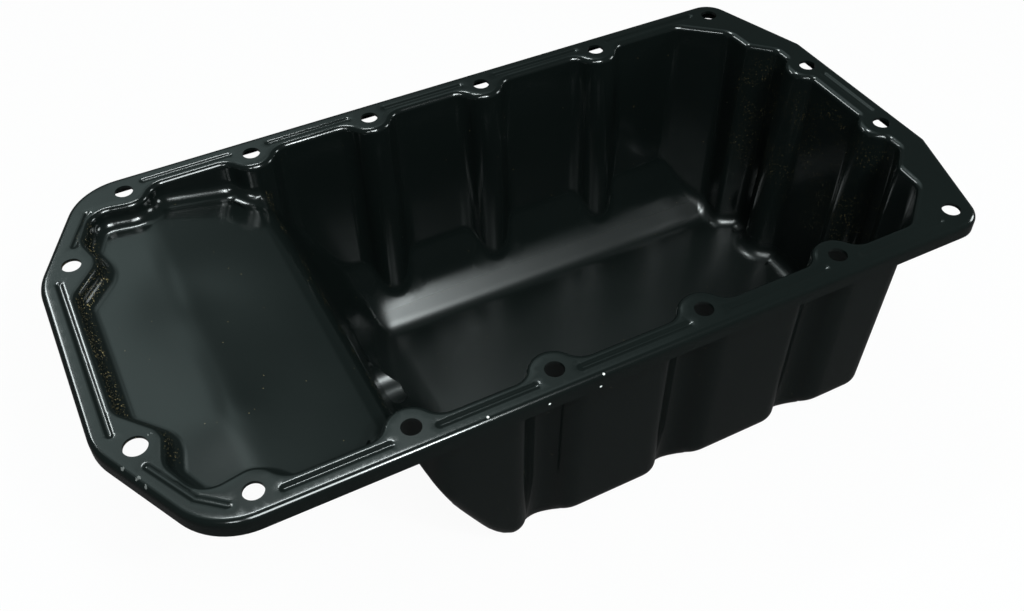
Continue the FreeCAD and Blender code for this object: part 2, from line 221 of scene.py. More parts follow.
# White nicks on the near edge of the rim, and scuffs beside the locating hole with the reach of each
NICKS = [(145.9, -111.3, -0.7), (144.3, -112.2, -6.8), (93.4, -109.7, 0.0), (120.1, -112.2, -4.4)]
NICK_RADIUS = 0.3
NICK_SOFTNESS = 0.4
SCUFFS = [(-41.5, -66.5, 2.5), (-37.0, -74.0, 3.0), (-35.0, -79.0, 2.5), (-27.0, -55.5, 3.0)]
NICK_COLOUR = (0.75, 0.76, 0.74, 1.0)

# Camera and studio
CAMERA_AT = (-23.9, -361.7, 341.2)
CAMERA_RIGHT = (0.8863, -0.463, -0.0093)
CAMERA_DOWN = (-0.3339, -0.6249, -0.7057)
CAMERA_FORWARD = (0.3209, 0.6286, -0.7085)
CAMERA_LENS = 38.89
ROOM_COLOUR = (0.78, 1.0, 0.98, 1.0)
ROOM_PATCH = (-0.10, 0.549, 0.829)
LAMP_COLOUR = (0.92, 1.0, 1.0)
LAMP_TARGET = (0.0, 0.0, -40.0)
LAMPS = [("softbox_front", (-40.0, -800.0, 960.0), (520.0, 460.0), 1.0),
         ("lamp_front", (130.0, -830.0, 900.0), (90.0, 60.0), 0.32),
         ("softbox_front_left", (-620.0, -820.0, 900.0), (220.0, 160.0), 0.22),
         ("softbox_back", (-60.0, 470.0, 1120.0), (420.0, 110.0), 0.34),
         ("softbox_back_left", (-620.0, 900.0, 760.0), (560.0, 150.0), 0.34),
         ("softbox_right", (1000.0, -200.0, 300.0), (300.0, 260.0), 0.2)]


# Shape of the sheet

def mix(top, low, share):
    return top + (low - top) * share


def flute(hole_x, side, wall_y, depth, nose, blend, angle):
    """Three corners of the notch that the sheet makes round one bolt."""
    turn = math.radians(angle)
    sharp = depth + nose * (1.0 / math.cos(turn) - 1.0)
    half = sharp / math.tan(turn)
    corners = [(hole_x - half, -wall_y, blend),
               (hole_x, -wall_y + sharp, nose),
               (hole_x + half, -wall_y, blend)]
    if side > 0:
        corners = [(x, -y, r) for x, y, r in reversed(corners)]
    return corners


def right_corner(side, wall, right, share):
    """Wall that cuts the right corner under its hole, from the near or far row to the end wall."""
    steps = []
    for top, low in zip(RIGHT_CUT_TOP, RIGHT_CUT_LOW):
        x, inset, radius = [mix(a, b, share) for a, b in zip(top, low)]
        steps.append((x, wall - inset, radius))
    end_y, end_radius = [mix(a, b, share) for a, b in zip(RIGHT_CUT_END_TOP, RIGHT_CUT_END_LOW)]
    steps.append((right, end_y, end_radius))
    if side > 0:
        return list(reversed(steps))
    return [(x, -y, r) for x, y, r in steps]


def left_corner(side, wall, left):
    """Wall round the corner hole, the chamfer and the end hole, from the far row to the end wall."""
    shift = left - LEFT_WALL[0]
    steps = [(x, wall - inset, radius) for x, inset, radius in LEFT_EAR]
    x, inset, radius = LEFT_NOSE
    steps.append((x + shift, wall - inset, radius))
    steps += [(x + shift, y, radius) for x, y, radius in LEFT_CHAMFER_WALL]
    steps.append((left, LEFT_WALL_HALF, LEFT_WALL_ROUND))
    if side > 0:
        return steps
    return [(x, -y, r) for x, y, r in reversed(steps)]


def plan_corners(share):
    """Corners of the inside of the walls; share is 0 at the flange and 1 at the reference depth."""
    wall = mix(*WALL_Y, share)
    right = mix(*RIGHT_WALL, share)
    left = mix(*LEFT_WALL, share)
    nose = mix(EAR_RADIUS, FLUTE_NOSE_LOW, share)
    blend = mix(EAR_BLEND, FLUTE_BLEND_LOW, share)
    tip = WALL_Y[0] - ROW_Y + EAR_RADIUS
    tray_tip = mix(tip, TRAY_EAR_DEPTH, share)
    well_tip = mix(tip, FLUTE_DEPTH_LOW, share)
    corners = flute(NEAR_HOLES[1], -1, wall, tray_tip, nose, blend, FLUTE_ANGLE)
    for x in NEAR_HOLES[2:5]:
        corners += flute(x, -1, wall, well_tip, nose, blend, FLUTE_ANGLE)
    corners += right_corner(-1, wall, right, share)
    right_tip = mix(RIGHT_WALL[0] - RIGHT_HOLE[0] + EAR_RADIUS, RIGHT_FLUTE_DEPTH, share)
    for y in (-RIGHT_HOLE[1], RIGHT_HOLE[1]):
        notch = flute(0.0, -1, 0.0, right_tip, nose, mix(*RIGHT_FLUTE_BLEND, share), RIGHT_FLUTE_ANGLE)
        corners += [(right - v, y + u, r) for u, v, r in notch]
    corners += right_corner(1, wall, right, share)
    for x in reversed(FAR_HOLES[2:5]):
        corners += flute(x, 1, wall, well_tip, nose, blend, FLUTE_ANGLE)
    corners += flute(FAR_HOLES[1], 1, wall, tray_tip, nose, blend, FLUTE_ANGLE)
    return corners + left_corner(1, wall, left) + left_corner(-1, wall, left)


def rounded_loop(corners, arc_points, side_steps):
    """Points and outward normals along a counter-clockwise outline, the same number for the same corners."""
    count = len(corners)
    arcs = []
    for i in range(count):
        q = np.array(corners[i][:2])
        a = np.array(corners[i - 1][:2]) - q
        b = np.array(corners[(i + 1) % count][:2]) - q
        a /= np.linalg.norm(a)
        b /= np.linalg.norm(b)
        turn = math.acos(max(-1.0, min(1.0, float(a @ b))))
        left = -a[0] * b[1] + a[1] * b[0]
        radius = corners[i][2]
        middle = a + b
        centre = q + middle / np.linalg.norm(middle) * radius / math.sin(turn / 2.0)
        first = q + a * radius / math.tan(turn / 2.0) - centre
        sign = 1.0 if left > 0 else -1.0
        sweep = (math.pi - turn) * sign
        rows = []
        for k in range(arc_points):
            angle = sweep * k / (arc_points - 1)
            c, s = math.cos(angle), math.sin(angle)
            spoke = np.array([first[0] * c - first[1] * s, first[0] * s + first[1] * c])
            rows.append((centre + spoke, sign * spoke / radius))
        arcs.append(rows)
    points = []
    normals = []
    for i in range(count):
        rows = arcs[i]
        after = arcs[(i + 1) % count][0]
        for p, n in rows:
            points.append(p)
            normals.append(n)
        steps = side_steps[i]
        for k in range(1, steps):
            share = k / steps
            points.append(rows[-1][0] * (1 - share) + after[0] * share)
            n = rows[-1][1] * (1 - share) + after[1] * share
            normals.append(n / np.linalg.norm(n))
    return np.array(points), np.array(normals)


def rounded_profile(corners, steps=24):
    """Dense points of a profile that runs from left to right with its inner corners rounded."""
    rows = [corners[0][:2]]
    for before, here, after in zip(corners, corners[1:], corners[2:]):
        q = np.array(here[:2])
        a = np.array(before[:2]) - q
        b = np.array(after[:2]) - q
        a /= np.linalg.norm(a)
        b /= np.linalg.norm(b)
        turn = math.acos(float(a @ b))
        reach = here[2] / math.tan(turn / 2.0)
        middle = (a + b) / np.linalg.norm(a + b)
        centre = q + middle * here[2] / math.sin(turn / 2.0)
        start = q + a * reach - centre
        stop = q + b * reach - centre
        for k in range(steps + 1):
            share = k / steps
            spoke = start * (1 - share) + stop * share
            rows.append(tuple(centre + spoke / np.linalg.norm(spoke) * here[2]))
    rows.append(corners[-1][:2])
    return np.array(rows)


ALONG = rounded_profile([(FORM_LEFT, -TRAY_DEPTH),
                         (TRAY_END_X, -TRAY_DEPTH, RAMP_ROUND),
                         (*EDGE, EDGE_ROUND),
                         (WELL_WALL_FOOT_X, -WELL_DEPTH, WELL_WALL_ROUND),
                         (FORM_RIGHT, -WELL_DEPTH)])
BAND_TOP = -WELL_DEPTH + (FAR_BAND_TOP_Y - FAR_BAND_FOOT_Y) * math.tan(math.radians(FAR_BAND_ANGLE))
APRON_TOP = BAND_TOP + (FORM_SIDE - FAR_BAND_TOP_Y) * math.tan(math.radians(FAR_APRON_ANGLE))
ACROSS = rounded_profile([(-FORM_SIDE, -WELL_DEPTH + FORM_SIDE - NEAR_BAND_FOOT_Y),
                          (-NEAR_BAND_FOOT_Y, -WELL_DEPTH, BAND_ROUND),
                          (FAR_BAND_FOOT_Y, -WELL_DEPTH, BAND_ROUND),
                          (FAR_BAND_TOP_Y, BAND_TOP, BAND_ROUND),
                          (FORM_SIDE, APRON_TOP)])


def higher(a, b, blend):
    """The higher of two heights, rounded where they cross."""
    near = np.maximum(blend - np.abs(a - b), 0.0)
    return np.maximum(a, b) + near * near / (4.0 * blend)


def floor_height(x, y):
    """Height of the tray, ramp and well floor, where the left wall of the well counts as floor."""
    along = np.interp(x, ALONG[:, 0], ALONG[:, 1])
    across = np.interp(y, ACROSS[:, 0], ACROSS[:, 1])
    top_x = np.where(y > 0, FAR_CORNER_X, NEAR_CORNER_X)
    slant = EDGE[1] - (x - top_x + CORNER_SKEW * (CORNER_Y - np.abs(y))) / CORNER_LEAN
    slant = np.minimum(slant, EDGE[1] - CORNER_DROP)
    slant = np.where(np.abs(y) < CORNER_FREE_Y, FAR_BELOW, slant)
    well = higher(along, np.where(along < EDGE[1], slant, FAR_BELOW), CORNER_ROUND)
    for at_x, at_y, reach, rise in (TRAY_DISH, TRAY_SWELL):
        well = well + rise * np.exp(-((x - at_x) ** 2 + (y - at_y) ** 2) / (2.0 * reach ** 2))
    # Two flat floors at one height would be lifted by the rounding, so it fades out down there
    above = np.maximum(well, across) + WELL_DEPTH
    return higher(well, across, np.clip(above, 0.01, CORNER_BLEND))


def inside(points, loop):
    """Which points lie inside a closed loop."""
    x, y = points[:, 0][:, None], points[:, 1][:, None]
    x0, y0 = loop[:, 0][None, :], loop[:, 1][None, :]
    x1, y1 = np.roll(loop[:, 0], -1)[None, :], np.roll(loop[:, 1], -1)[None, :]
    crosses = (y0 > y) != (y1 > y)
    at = x0 + (y - y0) * (x1 - x0) / np.where(y1 == y0, 1e-12, y1 - y0)
    return (np.sum(crosses & (x < at), axis=1) % 2) == 1


def loop_distance(points, loop):
    """Distance from each point to the sides of a closed loop."""
    return line_distance(points, np.concatenate([loop, loop[:1]]))


def bead_lines():
    """Centre lines of the beads between the bolts."""
    lines = []
    for row, side in ((NEAR_HOLES, -1), (FAR_HOLES, 1)):
        for first, last in zip(row, row[1:]):
            lines.append([(first + BEAD_CLEAR, side * BEAD_Y), (last - BEAD_CLEAR, side * BEAD_Y)])
    lines += [NEAR_CORNER_BEAD, FAR_CORNER_BEAD, LEFT_BEAD, RIGHT_BEAD]
    return [np.array(line) for line in lines]


def line_distance(points, line):
    """Distance from each point to an open line."""
    best = np.full(len(points), 1e9)
    for a, b in zip(line, line[1:]):
        run = b - a
        t = np.clip(((points - a) @ run) / (run @ run), 0.0, 1.0)
        best = np.minimum(best, np.linalg.norm(points - a - t[:, None] * run, axis=1))
    return best


def bead_height(points):
    """How far the flange's top lies below its plane, which is only so in the beads."""
    low = np.zeros(len(points))
    for line in bead_lines():
        gap = np.clip(line_distance(points, line) / BEAD_HALF, 0.0, 1.0)
        low = np.minimum(low, -BEAD_DEPTH * 0.5 * (1.0 + np.cos(math.pi * gap)))
    return low


def bead_points():
    """Points beside each bead's line, so that the mesh follows its groove."""
    rows = []
    for line in bead_lines():
        for a, b in zip(line, line[1:]):
            run = b - a
            length = float(np.linalg.norm(run))
            along = run / length
            across = np.array([-along[1], along[0]])
            steps = max(2, int(length / BEAD_STEP))
            for row, off in enumerate(BEAD_OFFSETS):
                for k in range(steps + 1 - row % 2):
                    rows.append(a + run * (k + 0.5 * (row % 2)) / steps + across * off)
        for end, other in ((line[0], line[1]), (line[-1], line[-2])):
            out = end - other
            out = out / np.linalg.norm(out)
            for turn in BEAD_END_TURNS:
                c, s = math.cos(math.radians(turn)), math.sin(math.radians(turn))
                spoke = np.array([out[0] * c - out[1] * s, out[0] * s + out[1] * c])
                for off in BEAD_END_REACHES:
                    rows.append(end + spoke * off)
    return np.array(rows)


def all_holes():
    """Middle and radius of each of the sixteen holes."""
    holes = [(x, -ROW_Y, HOLE_RADIUS) for x in NEAR_HOLES] + [(x, ROW_Y, HOLE_RADIUS) for x in FAR_HOLES]
    holes += [(RIGHT_HOLE[0], side * RIGHT_HOLE[1], HOLE_RADIUS) for side in (-1, 1)]
    return holes + [(LEFT_HOLE[0], LEFT_HOLE[1], HOLE_RADIUS), (LEFT_HOLE[0], -LEFT_HOLE[1], LOCATING_RADIUS)]


def grid(x0, x1, y0, y1, dx, dy):
    """Points of a grid with every other row shifted by half a step."""
    xs = np.arange(x0, x1, dx)
    ys = np.arange(y0, y1, dy)
    gx, gy = np.meshgrid(xs, ys)
    gx[1::2] += dx / 2.0
    return np.stack([gx.ravel(), gy.ravel()], axis=1)


def fill(loops, extra, keep):
    """Triangles over the given closed loops and extra points, kept where keep(centres) is true."""
    points = np.concatenate(loops + [extra])
    edges = []
    start = 0
    for loop in loops:
        count = len(loop)
        edges += [(start + i, start + (i + 1) % count) for i in range(count)]
        start += count
    # Straight sides are bowed outwards for this step, so that no triangle lies flat between their points
    middle = points.mean(axis=0)
    off = points - middle
    bowed = off * (1.0 - BOW * np.sum(off ** 2, axis=1))[:, None]
    result = delaunay_2d_cdt([Vector(p) for p in bowed], edges, [], 0, 1e-5)
    off = np.array([tuple(v) for v in result[0]])
    back = off
    for _ in range(UNBOW_ROUNDS):
        back = off / (1.0 - BOW * np.sum(back ** 2, axis=1))[:, None]
    verts = back + middle
    for i, origins in enumerate(result[3]):
        if origins:
            verts[i] = points[origins[0]]
    faces = np.array([f for f in result[2] if len(f) == 3])
    centres = verts[faces].mean(axis=1)
    return verts, faces[keep(centres)]


class Sheet:
    """Collects vertices and faces; what lies in the same place is joined later by weld."""

    def __init__(self):
        self.verts = []
        self.faces = []

    def add(self, verts, faces):
        start = sum(len(v) for v in self.verts)
        self.verts.append(np.asarray(verts, float))
        self.faces += [tuple(int(i) + start for i in f) for f in faces]

    def rows(self, rows):
        """Quads between rows of points that run the same way; faces look to the left of the row's course."""
        count = len(rows[0])
        faces = []
        for k in range(len(rows) - 1):
            for i in range(count):
                j = (i + 1) % count
                faces.append((k * count + i, k * count + j, (k + 1) * count + j, (k + 1) * count + i))
        self.add(np.concatenate(rows), faces)

    def build(self, name):
        """Make a visible piece of it, in metres and in the frame's axes."""
        verts = np.concatenate(self.verts)
        verts[:, 0] -= ORIGIN_X
        mesh = bpy.data.meshes.new(name)
        mesh.from_pydata([tuple(v * MM) for v in verts], [], self.faces)
        mesh.update()
        piece = bpy.data.objects.new(name, mesh)
        bpy.context.scene.collection.objects.link(piece)
        return piece


def side_steps(corners, step, least):
    """How many steps each side of an outline takes."""
    steps = []
    for here, after in zip(corners, corners[1:] + corners[:1]):
        steps.append(max(least, int(math.hypot(here[0] - after[0], here[1] - after[1]) / step)))
    return steps


class Walls:
    """The wall's columns, drafted from above the flange to below the well floor."""

    def __init__(self):
        tops = plan_corners(-PLAN_ABOVE / REFERENCE_DEPTH)
        lows = plan_corners((REFERENCE_DEPTH + PLAN_BELOW) / REFERENCE_DEPTH)
        steps = side_steps(tops, COLUMN_STEP, 2)
        self.top, self.top_normal = rounded_loop(tops, ARC_POINTS, steps)
        self.low, self.low_normal = rounded_loop(lows, ARC_POINTS, steps)

    def at(self, z):
        """Place and outward normal of each column at one height, or at a height for each column."""
        share = (PLAN_ABOVE - z) / (REFERENCE_DEPTH + PLAN_ABOVE + PLAN_BELOW)
        share = np.asarray(share)[..., None] if np.ndim(share) else share
        n = self.top_normal * (1 - share) + self.low_normal * share
        return self.top * (1 - share) + self.low * share, n / np.linalg.norm(n, axis=1)[:, None]


def bend_rows(walls):
    """Rows of the bend under the flange, from its mouth down to the wall."""
    place, normal = walls.at(-TOP_BEND)
    rows = []
    for k in range(BEND_STEPS + 1):
        angle = math.pi / 2 * k / BEND_STEPS
        out = TOP_BEND * (1.0 - math.sin(angle))
        z = -TOP_BEND * (1.0 - math.cos(angle))
        rows.append(np.column_stack([place + normal * out, np.full(len(place), z)]))
    return rows


def foot_heights(walls):
    """Height at which each column meets the floor, found by halving the step towards it."""
    z = np.full(len(walls.top), -60.0)
    for _ in range(60):
        place, _ = walls.at(z)
        z = 0.5 * z + 0.5 * floor_height(place[:, 0], place[:, 1])
    return z


def foot_slopes(place, normal):
    """Rise of the floor away from each column, smoothed along the wall."""
    inner = floor_height(place[:, 0] - normal[:, 0] * FOOT_PROBE, place[:, 1] - normal[:, 1] * FOOT_PROBE)
    slope = np.clip((inner - floor_height(place[:, 0], place[:, 1])) / FOOT_PROBE, *FOOT_SLOPES)
    for _ in range(3):
        slope = (np.roll(slope, 1) + slope * 2 + np.roll(slope, -1)) / 4.0
    return slope


def wall_and_foot_rows(walls):
    """Rows down the wall, round its foot and a little way onto the floor."""
    z = foot_heights(walls)
    place, normal = walls.at(z)
    slope = foot_slopes(place, normal)
    root = np.sqrt(1.0 + slope ** 2)
    radius = np.clip(FOOT_RADIUS / (1.0 + np.minimum(slope, 0.0) / root), FOOT_RADIUS, FOOT_RADIUS_MOST)
    radius = np.minimum(radius, (-TOP_BEND - FOOT_BELOW_BEND - z) / np.maximum(slope + root, 0.15))
    centre_z = z + radius * (slope + root)
    rows = []
    for k in range(1, WALL_ROWS + 1):
        row_z = -TOP_BEND + (centre_z + TOP_BEND) * k / WALL_ROWS
        rows.append(np.column_stack([walls.at(row_z)[0], row_z]))
    place, normal = walls.at(centre_z)
    sweep = math.pi / 2 + np.arctan(slope)
    for k in range(1, FOOT_STEPS + 1):
        angle = sweep * k / FOOT_STEPS
        inwards = radius * (1.0 - np.cos(angle))
        xy = place - normal * inwards[:, None]
        share = np.clip(inwards / np.maximum(radius, 1e-6), 0.0, 1.0)
        share = share * share * (3 - 2 * share)
        straight = z + slope * inwards
        row_z = centre_z - radius * np.sin(angle)
        row_z = row_z + (floor_height(xy[:, 0], xy[:, 1]) - straight) * share
        rows.append(np.column_stack([xy, row_z]))
    for share in (0.5, 1.0):
        xy = place - normal * (inwards + (FOOT_REACH - inwards) * share)[:, None]
        rows.append(np.column_stack([xy, floor_height(xy[:, 0], xy[:, 1])]))
    return rows


def floor_faces(ring):
    """Triangles of the floor inside the foot's last row."""
    extra = np.concatenate([grid(*limits) for limits in FLOOR_GRIDS])
    extra = extra[inside(extra, ring)]
    extra = extra[loop_distance(extra, ring) > FLOOR_ROOM]
    verts, faces = fill([ring], extra, lambda c: inside(c, ring))
    return np.column_stack([verts, floor_height(verts[:, 0], verts[:, 1])]), faces


def rim_outline():
    """Points and outward normals of the rim's outside."""
    outline = [(LEFT_CHAMFER[0], -HALF_WIDTH, LEFT_ROW_ROUND),
               (RIGHT_CHAMFER[0], -HALF_WIDTH, RIGHT_ROW_ROUND),
               (RIGHT_END, -RIGHT_CHAMFER[1], RIGHT_END_ROUND),
               (RIGHT_END, RIGHT_CHAMFER[1], RIGHT_END_ROUND),
               (RIGHT_CHAMFER[0], HALF_WIDTH, RIGHT_ROW_ROUND),
               (LEFT_CHAMFER[0], HALF_WIDTH, LEFT_ROW_ROUND),
               (LEFT_END, LEFT_CHAMFER[1], LEFT_END_ROUND),
               (LEFT_END, -LEFT_CHAMFER[1], LEFT_END_ROUND)]
    return rounded_loop(outline, OUTLINE_ARC_POINTS, side_steps(outline, OUTLINE_STEP, 3))


def circle(x, y, radius, sides):
    turn = np.linspace(0.0, 2.0 * math.pi, sides + 1)[:-1]
    return np.column_stack([x + radius * np.cos(turn), y + radius * np.sin(turn)])


def flange_faces(flat_edge, mouth):
    """Triangles of the flange with its holes and beads, between the mouth and the rim's bend."""

    def on_flange(c):
        keep = inside(c, flat_edge) & ~inside(c, mouth)
        for x, y, r in all_holes():
            keep &= np.hypot(c[:, 0] - x, c[:, 1] - y) > r * 0.995
        return keep

    plain = grid(*FLANGE_GRID)
    for line in bead_lines():
        plain = plain[line_distance(plain, line) > BEAD_ROOM]
    collars = [circle(x, y, r + COLLAR_WIDTH, COLLAR_SIDES) for x, y, r in all_holes()]
    extra = np.concatenate([bead_points(), plain] + collars)
    extra = extra[on_flange(extra)]
    room = np.minimum(loop_distance(extra, flat_edge), loop_distance(extra, mouth))
    extra = extra[room > FLANGE_ROOM]
    holes = [circle(x, y, r, HOLE_SIDES) for x, y, r in all_holes()]
    verts, faces = fill([flat_edge, mouth] + holes, extra, on_flange)
    return np.column_stack([verts, bead_height(verts)]), faces


def rim_rows(edge, normal):
    """Rows of the rim turned down outside the flange, from its flat edge to its lower end."""
    rows = []
    for k in range(9):
        angle = math.pi / 2 * k / 8
        out = -RIM_BEND * (1.0 - math.sin(angle))
        z = -RIM_BEND * (1.0 - math.cos(angle))
        rows.append(np.column_stack([edge + normal * out, np.full(len(edge), z)]))
    for z in (-RIM_MIDDLE, -RIM_HEIGHT):
        rows.append(np.column_stack([edge, np.full(len(edge), z)]))
    return rows


def sheet_mesh():
    """The upper side of the whole pressing, without thickness."""
    sheet = Sheet()
    walls = Walls()
    rows = bend_rows(walls)
    mouth = rows[0][:, :2]
    rows += wall_and_foot_rows(walls)
    sheet.rows(rows)
    sheet.add(*floor_faces(rows[-1][:, :2]))
    edge, normal = rim_outline()
    sheet.add(*flange_faces(edge - normal * RIM_BEND, mouth))
    sheet.rows([row[::-1] for row in rim_rows(edge, normal)])
    return sheet


def select_only(piece):
    bpy.ops.object.select_all(action="DESELECT")
    piece.select_set(True)
    bpy.context.view_layer.objects.active = piece


def weld(piece):
    """Join the vertices that lie in the same place."""
    select_only(piece)
    bpy.ops.object.mode_set(mode="EDIT")
    bpy.ops.mesh.select_all(action="SELECT")
    bpy.ops.mesh.remove_doubles(threshold=WELD_DISTANCE * MM)
    bpy.ops.object.mode_set(mode="OBJECT")


def wall_x(y, z):
    """Where the inside of the well's left wall lies at a height."""
    low = np.full(len(y), 60.0)
    high = np.full(len(y), 130.0)
    for _ in range(40):
        middle = (low + high) / 2.0
        above = floor_height(middle, y) > z
        low = np.where(above, middle, low)
        high = np.where(above, high, middle)
    return low


def drain_pad():
    """Round pocket in the left wall of the well that the drain bush sits in, open towards the well."""
    turn = np.linspace(0.0, 2.0 * math.pi, PAD_SIDES + 1)[:-1]

    def ring(x, radius):
        """Ring of the pocket at one x, or along the well's left wall where x is None."""
        y = DRAIN_Y + radius * np.cos(turn)
        z = DRAIN_Z + radius * np.sin(turn)
        along = np.minimum(wall_x(y, z), PAD_END_X) if x is None else np.full(len(y), x)
        return np.column_stack([along, y, z])

    bend_x = PAD_X + PAD_BEND
    bend_radius = PAD_RADIUS - PAD_BEND
    outer_bend = PAD_BEND + SHEET
    rows = [ring(None, PAD_RADIUS + SHEET)]
    for k in range(PAD_BEND_STEPS + 1):
        angle = math.pi / 2.0 * k / PAD_BEND_STEPS
        rows.append(ring(bend_x - outer_bend * math.sin(angle), bend_radius + outer_bend * math.cos(angle)))
    rows += [ring(PAD_X - SHEET, HOLE_IN_PAD), ring(PAD_X, HOLE_IN_PAD)]
    for k in range(PAD_BEND_STEPS + 1):
        angle = math.pi / 2.0 * (PAD_BEND_STEPS - k) / PAD_BEND_STEPS
        rows.append(ring(bend_x - PAD_BEND * math.sin(angle), bend_radius + PAD_BEND * math.cos(angle)))
    rows += [ring(None, PAD_RADIUS), rows[0]]
    sheet = Sheet()
    sheet.rows(rows)
    return sheet


def open_pocket(shell):
    """Cut the round opening of the drain's pocket through the well's left wall."""
    start = PAD_X - POCKET_REACH
    bpy.ops.mesh.primitive_cylinder_add(vertices=PAD_SIDES, radius=(PAD_RADIUS + SHEET / 2.0) * MM,
                                        depth=(PAD_END_X - start) * MM,
                                        location=point((start + PAD_END_X) / 2.0, DRAIN_Y, DRAIN_Z),
                                        rotation=(0.0, math.pi / 2.0, 0.0))
    cutter = bpy.context.object
    select_only(shell)
    modifier = shell.modifiers.new("Pocket", "BOOLEAN")
    modifier.operation = "DIFFERENCE"
    modifier.object = cutter
    modifier.solver = "EXACT"
    bpy.ops.object.modifier_apply(modifier=modifier.name)
    bpy.data.objects.remove(cutter, do_unlink=True)


# Shader maths

class Socket:
    """A shader output that takes part in Python arithmetic by adding Math nodes."""

    def __init__(self, tree, link):
        self.tree = tree
        self.link = link

    def _maths(self, operation, *values):
        node = self.tree.nodes.new("ShaderNodeMath")
        node.operation = operation
        for slot, value in zip(node.inputs, values):
            if isinstance(value, Socket):
                self.tree.links.new(value.link, slot)
            else:
                slot.default_value = value
        return Socket(self.tree, node.outputs[0])

    def __add__(self, other):
        return self._maths("ADD", self, other)

    def __radd__(self, other):
        return self._maths("ADD", other, self)

    def __mul__(self, other):
        return self._maths("MULTIPLY", self, other)

    def __gt__(self, other):
        return self._maths("GREATER_THAN", self, other)

    def __lt__(self, other):
        return self._maths("LESS_THAN", self, other)

    def larger(self, other):
        return self._maths("MAXIMUM", self, other)


class Nodes:
    """A node tree and the few calls that its nodes need."""

    def __init__(self, tree):
        self.tree = tree

    def feed(self, slot, value):
        """Link a socket's value to a slot, or set the slot to a plain value."""
        if isinstance(value, Socket):
            self.tree.links.new(value.link, slot)
        else:
            slot.default_value = value

    def node(self, kind, settings=None, inputs=None, output=0):
        node = self.tree.nodes.new(kind)
        for name, value in (settings or {}).items():
            setattr(node, name, value)
        for name, value in (inputs or {}).items():
            self.feed(node.inputs[name], value)
        return Socket(self.tree, node.outputs[output])

    def place(self):
        return self.node("ShaderNodeTexCoord", output="Object")

    def split(self, vector):
        node = self.tree.nodes.new("ShaderNodeSeparateXYZ")
        self.tree.links.new(vector.link, node.inputs[0])
        return [Socket(self.tree, node.outputs[i]) for i in range(3)]

    def noise(self, vector, scale, detail, roughness=0.5):
        return self.node("ShaderNodeTexNoise", {},
                         {"Vector": vector, "Scale": scale, "Detail": detail, "Roughness": roughness})

    def drawn_noise(self, vector, scales, detail):
        """Noise with a scale of its own along each axis."""
        drawn = self.node("ShaderNodeMapping", {}, {"Vector": vector, "Scale": scales})
        return self.noise(drawn, 1.0, detail)

    def ramp(self, value, low, high, start=0.0, stop=1.0):
        """Smooth step from start to stop while value goes from low to high."""
        return self.node("ShaderNodeMapRange", {"interpolation_type": "SMOOTHSTEP"},
                         {"Value": value, "From Min": low, "From Max": high, "To Min": start, "To Max": stop})

    def band(self, value, low, high, soft):
        """1 where value lies between low and high, with soft edges."""
        return self.ramp(value, low - soft, low) * self.ramp(value, high, high + soft, 1.0, 0.0)

    def zone(self, axes, limits):
        """1 inside a box on the pan, given in millimetres as low, high and softness for each axis."""
        share = None
        for value, limit, shift in zip(axes, limits, (ORIGIN_X, 0.0, 0.0)):
            if limit is not None:
                low, high, soft = limit
                part = self.band(value, (low - shift) * MM, (high - shift) * MM, soft * MM)
                share = part if share is None else share * part
        return share

    def spots(self, vector, spots):
        """1 within the radius of any of the spots, given as place, radius and softness in millimetres."""
        share = None
        for place, radius, soft in spots:
            gap = self.node("ShaderNodeVectorMath", {"operation": "DISTANCE"}, {0: vector, 1: point(*place)},
                            output="Value")
            part = self.ramp(gap, radius * MM, (radius + soft) * MM, 1.0, 0.0)
            share = part if share is None else share.larger(part)
        return share

    def mix(self, share, first, second):
        node = self.tree.nodes.new("ShaderNodeMix")
        node.data_type = "RGBA"
        for slot, value in ((node.inputs[0], share), (node.inputs[6], first), (node.inputs[7], second)):
            self.feed(slot, value)
        return Socket(self.tree, node.outputs[2])


class Finish(Nodes):
    """A material and its node tree."""

    def __init__(self, name):
        self.material = bpy.data.materials.new(name)
        self.material.use_nodes = True
        super().__init__(self.material.node_tree)
        self.shader = self.tree.nodes["Principled BSDF"]

    def set(self, **values):
        names = {"colour": "Base Color", "roughness": "Roughness", "metallic": "Metallic", "normal": "Normal",
                 "ior": "IOR"}
        for name, value in values.items():
            self.feed(self.shader.inputs[names[name]], value)
        return self.material


def point(x, y, z):
    """A place on the pan, given in millimetres from the first hole of the near row."""
    return ((x - ORIGIN_X) * MM, y * MM, z * MM)


